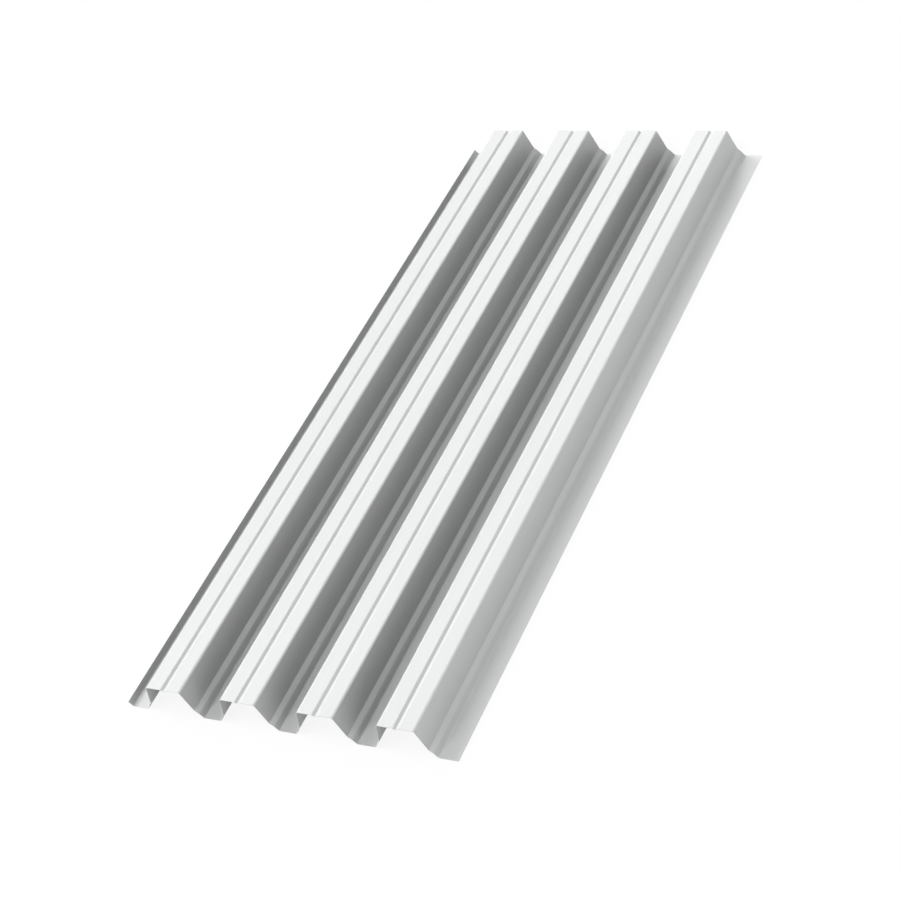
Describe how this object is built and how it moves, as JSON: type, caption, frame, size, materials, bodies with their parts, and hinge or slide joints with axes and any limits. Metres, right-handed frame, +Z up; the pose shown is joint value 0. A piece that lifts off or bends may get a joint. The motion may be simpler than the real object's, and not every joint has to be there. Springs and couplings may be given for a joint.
{
  "type": "profiled steel sheet",
  "caption": "Roll-formed trapezoidal steel roofing and decking sheet with stepped webs, grooved crests, a lipped side-lap flange and a plain flange.",
  "frame": {"origin": "on the floor, under the middle of the sheet's width and length", "axes": "+X across the ribs, from the lipped edge to the plain flange; +Y along the ribs; +Z up, from the troughs to the crests"},
  "size_m": [0.8, 1.86, 0.0758],
  "materials": {
    "coated_steel": "white coil coating, smooth with a low sheen"
  },
  "bodies": {
    "root": {"profiled_sheet": "coated_steel"}
  },
  "joints": []
}
